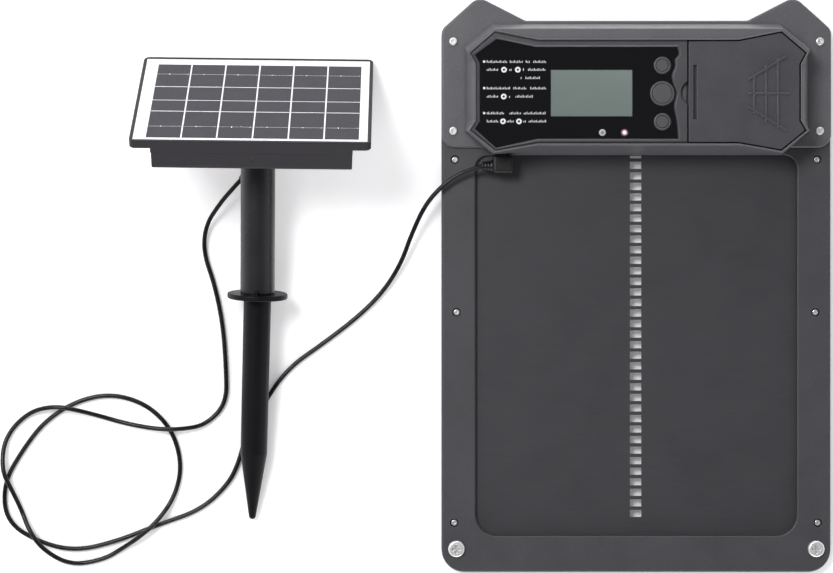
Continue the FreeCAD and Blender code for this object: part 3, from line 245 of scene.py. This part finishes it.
def polished(name, colour, rough=0.06, spec=0.5):
    """Gloss plastic: faint smears in its shine, and a pale painted highlight along its edges."""
    made, tree, shader, at = start(name)
    smear = noise(tree, at, 35.0, 5.0, 0.6)
    rounded, highlit_edge = soft_edges(tree, CUT_EDGE)
    body = patches(tree, smear, shade(colour, 0.92), shade(colour, 1.08))
    # painted highlight: edges turned pale
    body = blend(tree, maths(tree, "MULTIPLY", highlit_edge, 0.5), body, EDGE_HIGHLIGHT)
    tree.links.new(body, shader.inputs["Base Color"])
    tree.links.new(spread(tree, smear, 0.3, 0.8, rough, rough + HAZE), shader.inputs["Roughness"])
    tree.links.new(rounded, shader.inputs["Normal"])
    shader.inputs["Specular IOR Level"].default_value = spec
    return made


def liquid_crystal():
    """The blank display: a grey-green film with a painted highlight, lighter towards its top edge and a
    little towards its right, with the faint grid of its dots.
    """
    made, tree, shader, at = start("liquid_crystal")
    low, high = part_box("lcd_module")
    apart = add(tree, "SeparateXYZ", {0: at})
    rise = spread(tree, apart.outputs["Y"], low[1], high[1], 0.0, 1.0)
    across = spread(tree, apart.outputs["X"], low[0], high[0], 0.0, 1.0)
    cloud = noise(tree, at, 25.0, 2.0, 0.5)
    # painted highlight: the film is lighter towards the top and the right
    tone = maths(tree, "ADD", maths(tree, "MULTIPLY", rise, 0.45), maths(tree, "MULTIPLY", cloud, 0.45))
    tone = maths(tree, "ADD", tone, maths(tree, "MULTIPLY", across, 0.15))
    film = blend(tree, tone, (0.125, 0.160, 0.150, 1.0), (0.185, 0.222, 0.208, 1.0))
    tree.links.new(film, shader.inputs["Base Color"])
    tree.links.new(spread(tree, cloud, 0.3, 0.7, 0.22, 0.30), shader.inputs["Roughness"])
    grid = add(tree, "TexWave", {"Vector": at, "Scale": 480.0}, bands_direction="X").outputs["Fac"]
    lines = add(tree, "Bump", {"Height": grid, "Strength": 0.1, "Distance": 0.00001})
    tree.links.new(lines.outputs[0], shader.inputs["Normal"])
    return made


def silicon_cell():
    """A cell under film: dark blue-violet, with fine fingers down it and a cloudy crystal tone."""
    made, tree, shader, at = start("silicon_cell", Roughness=0.35)
    head = head_matrix().inverted()
    turned = {"Vector": at, "Location": head.translation, "Rotation": head.to_euler()}
    face = add(tree, "Mapping", turned).outputs[0]
    apart = add(tree, "SeparateXYZ", {0: face})
    cloud = noise(tree, face, 70.0, 3.0, 0.6)
    finger = maths(tree, "FRACT", maths(tree, "MULTIPLY", apart.outputs["X"], 1 / FINGER_PITCH))
    drawn = maths(tree, "LESS_THAN", finger, 0.09)
    crystal = patches(tree, cloud, (0.009, 0.008, 0.014, 1.0), (0.016, 0.014, 0.024, 1.0))
    body = blend(tree, maths(tree, "MULTIPLY", drawn, 0.30), crystal, (0.08, 0.08, 0.10, 1.0))
    tree.links.new(body, shader.inputs["Base Color"])
    shader.inputs["Coat Weight"].default_value = 0.14
    shader.inputs["Specular IOR Level"].default_value = 0.25
    tree.links.new(spread(tree, cloud, 0.3, 0.7, 0.10, 0.18), shader.inputs["Coat Roughness"])
    return made


def lamp(name, middle, rim, strength):
    """A round lens with something bright in its middle, glowing in its own colours; on the light sensor,
    which is no lamp, the faint glow is painted light.
    """
    made, tree, shader, at = start(name, Roughness=0.12)
    low, high = (Vector(p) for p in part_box(name))
    centre = (low + high) / 2
    offset = add(tree, "VectorMath", {0: at, 1: centre}, operation="SUBTRACT").outputs[0]
    flat = add(tree, "VectorMath", {0: offset, 1: (1.0, 1.0, 0.0)}, operation="MULTIPLY").outputs[0]
    away = add(tree, "VectorMath", {0: flat}, operation="LENGTH").outputs["Value"]
    ring = spread(tree, away, 0.10 * (high - low).x, 0.36 * (high - low).x, 0.0, 1.0)
    colour = blend(tree, ring, middle, rim)
    tree.links.new(colour, shader.inputs["Base Color"])
    tree.links.new(colour, shader.inputs["Emission Color"])
    shader.inputs["Emission Strength"].default_value = strength
    return made


def printed_ink():
    """White screen-printed ink, a little uneven."""
    made, tree, shader, at = start("printed_ink", Roughness=0.4)
    cloud = noise(tree, at, 900.0, 3.0, 0.6)
    body = patches(tree, cloud, (0.62, 0.62, 0.64, 1.0), (0.88, 0.88, 0.90, 1.0))
    tree.links.new(body, shader.inputs["Base Color"])
    return made


def white_board():
    """The white laminate under its clear film."""
    made, tree, shader, at = start("white_board", Roughness=0.3)
    cloud = noise(tree, at, 40.0, 4.0, 0.6)
    rounded = soft_edges(tree, BOARD_EDGE)[0]
    body = patches(tree, cloud, (0.86, 0.87, 0.90, 1.0), (0.93, 0.93, 0.95, 1.0))
    tree.links.new(body, shader.inputs["Base Color"])
    tree.links.new(rounded, shader.inputs["Normal"])
    shader.inputs["Coat Weight"].default_value = 0.5
    tree.links.new(spread(tree, cloud, 0.3, 0.7, 0.08, 0.16), shader.inputs["Coat Roughness"])
    return made


def circuit():
    """Green solder resist with darker tracks."""
    made, tree, shader, at = start("circuit", Roughness=0.35)
    cells = add(tree, "TexVoronoi", {"Vector": at, "Scale": 160.0}, distance="MANHATTAN").outputs[0]
    tracks = spread(tree, cells, 0.2, 0.5, 0.0, 1.0)
    body = blend(tree, tracks, (0.01, 0.10, 0.04, 1.0), (0.02, 0.20, 0.08, 1.0))
    tree.links.new(body, shader.inputs["Base Color"])
    return made


def sheathing():
    """The cord's soft black covering, with a light bloom."""
    made, tree, shader, at = start("sheathing")
    bloom = noise(tree, at, 120.0, 3.0, 0.6)
    fine = noise(tree, at, 2500.0, 2.0, 0.5)
    body = patches(tree, bloom, (0.004, 0.004, 0.005, 1.0), (0.008, 0.008, 0.009, 1.0))
    tree.links.new(body, shader.inputs["Base Color"])
    shader.inputs["Specular IOR Level"].default_value = 0.3
    tree.links.new(spread(tree, bloom, 0.3, 0.7, 0.22, 0.34), shader.inputs["Roughness"])
    lumps = add(tree, "Bump", {"Height": fine, "Strength": 0.3, "Distance": 0.00003})
    tree.links.new(lumps.outputs[0], shader.inputs["Normal"])
    return made


# ================================================================ shapes
def head_matrix():
    """From the solar face's own axes, millimetres apart from their scale, to the door's."""
    turn = (Matrix.Rotation(math.radians(HEAD_YAW), 4, "Z") @ Matrix.Rotation(math.radians(HEAD_ROLL), 4, "Y")
            @ Matrix.Rotation(math.radians(-HEAD_TILT), 4, "X"))
    return Matrix.Translation(Vector(HEAD_CENTRE) * MM) @ turn


def prism(shape, outline, low, high):
    """A low block over an outline, with its top edge broken."""
    base = [shape.verts.new((x * MM, y * MM, low * MM)) for x, y in outline]
    middle = (sum(x for x, y in outline) / len(outline), sum(y for x, y in outline) / len(outline))
    top = []
    inward = 1 - 0.12
    for x, y in outline:
        top.append(shape.verts.new(((middle[0] + (x - middle[0]) * inward) * MM,
                                    (middle[1] + (y - middle[1]) * inward) * MM, high * MM)))
    count = len(outline)
    for i in range(count):
        j = (i + 1) % count
        shape.faces.new((base[i], base[j], top[j], top[i]))
    shape.faces.new(top)


def bar(x0, x1, y0, y1):
    """A rectangle's corners, anticlockwise."""
    return [(x0, y0), (x1, y0), (x1, y1), (x0, y1)]


def disc(x, y, radius, count=20):
    """A circle's points, anticlockwise."""
    return [(x + radius * math.cos(2 * math.pi * i / count), y + radius * math.sin(2 * math.pi * i / count))
            for i in range(count)]


def hoop(shape, x, y, inner, outer, low, high, count=32):
    """A raised ring with a rounded top."""
    shoulder = high - 0.05
    rows = [(outer, low), (outer, shoulder), ((inner + outer) / 2, high), (inner, shoulder), (inner, low)]
    rings = []
    for radius, z in rows:
        rings.append([shape.verts.new((px * MM, py * MM, z * MM)) for px, py in disc(x, y, radius, count)])
    for a, b in zip(rings, rings[1:]):
        for i in range(count):
            j = (i + 1) % count
            shape.faces.new((a[i], a[j], b[j], b[i]))


def finished(name, shape, material, body, smooth=False, placed=None):
    """A mesh piece made from bmesh, with its material, riding on a body."""
    mesh = bpy.data.meshes.new(name)
    bmesh.ops.recalc_face_normals(shape, faces=shape.faces)
    shape.to_mesh(mesh)
    shape.free()
    if placed is not None:
        mesh.transform(placed)
    for face in mesh.polygons:
        face.use_smooth = smooth
    piece = bpy.data.objects.new(name, mesh)
    scene.collection.objects.link(piece)
    mesh.materials.append(material)
    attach(piece, body)
    return piece


# ================================================================ camera and cord
eye = bpy.data.objects.new("camera", bpy.data.cameras.new("camera"))
eye.location = CAMERA_AT
eye.data.sensor_width = 36.0
eye.data.lens = CAMERA_LENS
eye.data.clip_start = 0.05
eye.data.clip_end = 20.0
scene.collection.objects.link(eye)
scene.camera = eye

line = bpy.data.curves.new("solar_lead", "CURVE")
line.dimensions = "3D"
line.bevel_depth = CORD_RADIUS * MM
line.bevel_resolution = 5
line.resolution_u = 10
line.use_fill_caps = True
route = line.splines.new("NURBS")
route.points.add(len(CORD_ROUTE) - 1)
for point, place in zip(route.points, CORD_ROUTE):
    point.co = (place[0] * MM, place[1] * MM, place[2] * MM, 1.0)
route.order_u = 3
route.use_endpoint_u = True
lead = bpy.data.objects.new("solar_lead", line)
scene.collection.objects.link(lead)
line.materials.append(sheathing())
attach(lead, "root")
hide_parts("solar_cord")

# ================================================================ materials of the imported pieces
LOOKS = {
    "housing_abs": moulded("housing_abs", (0.090, 0.089, 0.098), 0.42, depth=0.00009, edge=0.8),
    "insert_abs": moulded("insert_abs", (0.049, 0.048, 0.054), 0.38, grain=1800.0, depth=0.00004, edge=1.0),
    "spike_abs": moulded("spike_abs", (0.005, 0.005, 0.006), 0.40, depth=0.00003, spec=0.15),
    "frame_abs": moulded("frame_abs", (0.043, 0.042, 0.048), 0.48),
    "door_aluminium": brushed("door_aluminium", (0.042, 0.041, 0.047), 0.50, 0.25, "X"),
    "black_acrylic": polished("black_acrylic", (0.0045, 0.0045, 0.006), rough=0.05, spec=0.45),
    "lcd": liquid_crystal(),
    "button_abs": moulded("button_abs", (0.062, 0.062, 0.067), 0.42, grain=2400.0, depth=0.00003),
    # the light sensor is no lamp: its faint glow is painted light
    "lens_clear": lamp("light_sensor", (0.16, 0.16, 0.16, 1.0), (0.50, 0.50, 0.51, 1.0), 0.1),
    "lens_red": lamp("status_led", (1.0, 0.80, 0.84, 1.0), (0.16, 0.09, 0.10, 1.0), 0.75),
    "screw_steel": brushed("screw_steel", (0.88, 0.88, 0.88), 0.30, 0.65, "X", fine=3500.0),
    "black_abs": moulded("black_abs", (0.017, 0.017, 0.019), 0.30, grain=1800.0, depth=0.00003, spec=0.35),
    "head_abs": moulded("head_abs", (0.020, 0.018, 0.022), 0.46, spec=0.22, edge=0.3),
    "pvc": moulded("pvc", (0.009, 0.009, 0.010), 0.36, grain=2400.0, depth=0.00003, spec=0.35),
    "white_board": white_board(),
    "silicon": silicon_cell(),
    "tin": brushed("tin", (0.82, 0.82, 0.84), 0.30, 1.0, "X", fine=4000.0),
    "rubber_seal": moulded("rubber_seal", (0.020, 0.020, 0.020), 0.75, grain=900.0),
    "motor_steel": brushed("motor_steel", (0.55, 0.55, 0.56), 0.35, 1.0, "X"),
    "brass": brushed("brass", (0.62, 0.46, 0.20), 0.32, 1.0, "X"),
    "pcb": circuit(),
    "acetal": moulded("acetal", (0.62, 0.61, 0.57), 0.45, drift=0.04, edge=0.1),
    "cell_wrap": polished("cell_wrap", (0.04, 0.11, 0.28), rough=0.22),
}
for part in frame["record"]["subparts"]:
    for place in frame["nodes"][part["node"]].material_slots:
        place.material = LOOKS[part["material_slot"]]


# ================================================================ print on the window
def window_print():
    """Plain dashes, dots and rings where the real window has its printed notes."""
    low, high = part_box("display_window")
    left, top, face = low[0] / MM, high[1] / MM, high[2] / MM
    shape = bmesh.new()
    for number, (drop, words, icons) in enumerate(PRINT_ROWS):
        y = top - drop
        for first, last in words:
            x = left + PRINT_LEFT + first
            while x < left + PRINT_LEFT + last - 0.5:
                tall = 0.62 + 0.25 * ((round(x * 7) + number) % 3)
                prism(shape, bar(x, x + DASH_WIDE, y - 0.7, y - 0.7 + tall * 1.5), face, face + PRINT_THICK)
                x += DASH_PITCH
        for at in icons:
            hoop(shape, left + PRINT_LEFT + at, y, 0.75, 1.9, face, face + PRINT_THICK)
        if number in BULLET_ROWS:
            prism(shape, disc(left + BULLET_LEFT, y + 0.1, 0.85), face, face + PRINT_THICK)
    finished("window_print", shape, printed_ink(), "root")


def key_marks():
    """A low ring and dot on each button."""
    for node, body in (("up_button", "up_key"), ("set_button", "set_key"), ("down_button", "down_key")):
        low, high = (Vector(p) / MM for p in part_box(node))
        x, y = (low.x + high.x) / 2, (low.y + high.y) / 2
        shape = bmesh.new()
        size = 1.6 if node == "set_button" else 1.3
        hoop(shape, x, y, size, size + 0.45, high.z - 0.4, high.z - 0.02)
        prism(shape, disc(x, y, 0.5), high.z - 0.4, high.z - 0.05)
        finished(node + "_mark", shape, LOOKS["button_abs"], body, smooth=True)


def cell_marks():
    """The thin second tab across each cell, with its solder dots."""
    shape = bmesh.new()
    x0, x1, y0, y1 = CELL_AREA
    wide = (x1 - x0 + CELL_GAP) / 6 - CELL_GAP
    tall = (y1 - y0 - CELL_GAP) / 2
    for column in range(6):
        left = x0 + column * (wide + CELL_GAP)
        for low, share in ((y0, 0.294), (y0 + tall + CELL_GAP, 0.72)):
            y = low + tall * share
            prism(shape, bar(left + 0.4, left + wide - 0.2, y - 0.09, y + 0.09), CELL_TOP, CELL_TOP + 0.05)
            prism(shape, disc(left + wide * 0.38, y, 0.5, 12), CELL_TOP, CELL_TOP + 0.12)
            prism(shape, disc(left + wide * 0.94, y, 0.35, 12), CELL_TOP, CELL_TOP + 0.10)
    finished("cell_marks", shape, LOOKS["tin"], "solar_head", placed=head_matrix())


window_print()
key_marks()
cell_marks()


# ================================================================ studio
def softbox(name, at, towards, wide, tall, power):
    """A rectangular lamp at a place, turned towards another."""
    lamp_data = bpy.data.lights.new(name, "AREA")
    lamp_data.shape = "RECTANGLE"
    lamp_data.size = wide
    lamp_data.size_y = tall
    lamp_data.energy = power
    made = bpy.data.objects.new(name, lamp_data)
    made.location = at
    made.rotation_euler = (Vector(towards) - Vector(at)).to_track_quat("-Z", "Y").to_euler()
    scene.collection.objects.link(made)


def surroundings():
    """Pale walls all round, darker straight overhead."""
    world = bpy.data.worlds.new("studio")
    world.use_nodes = True
    tree = world.node_tree
    way = add(tree, "TexCoord").outputs["Generated"]
    height = add(tree, "SeparateXYZ", {0: way}).outputs["Z"]
    tone = spread(tree, height, 0.25, 0.85, 1.0, 0.15)
    tree.links.new(tone, tree.nodes["Background"].inputs["Strength"])
    tree.nodes["Background"].inputs["Color"].default_value = (0.98, 0.99, 1.0, 1.0)
    scene.world = world


def paper():
    """The pale floor's material, with a glow that fades beneath things, painting their shadow onto it."""
    made, tree, shader, at = start("paper", Roughness=0.9)
    cloud = noise(tree, at, 5.0, 2.0, 0.5)
    body = blend(tree, cloud, (0.84, 0.83, 0.84, 1.0), (0.87, 0.86, 0.87, 1.0))
    tree.links.new(body, shader.inputs["Base Color"])
    tree.links.new(body, shader.inputs["Emission Color"])
    # painted shadow: the glow is turned down where things stand close above the floor
    glow = spread(tree, openness(tree, FLOOR_REACH), 0.3, 0.9, 0.15, 0.60)
    tree.links.new(glow, shader.inputs["Emission Strength"])
    return made


def floor():
    """The white table under everything."""
    shape = bmesh.new()
    sides = ((-1, -1), (1, -1), (1, 1), (-1, 1))
    shape.faces.new([shape.verts.new((x * FLOOR_HALF, y * FLOOR_HALF, FLOOR_Z)) for x, y in sides])
    mesh = bpy.data.meshes.new("floor")
    shape.to_mesh(mesh)
    shape.free()
    made = bpy.data.objects.new("floor", mesh)
    scene.collection.objects.link(made)
    mesh.materials.append(paper())


surroundings()
floor()
softbox("key", (-1.15, 0.85, 2.45), (-0.1, 0.0, 0.0), 1.0, 0.8, 50.0)
softbox("top", (0.1, 1.7, 0.5), (0.0, 0.1, 0.0), 1.8, 0.3, 8.0)
softbox("foot", (0.1, -1.7, 0.4), (0.0, 0.1, 0.0), 1.8, 0.3, 11.0)
scene.view_settings.view_transform = "Standard"
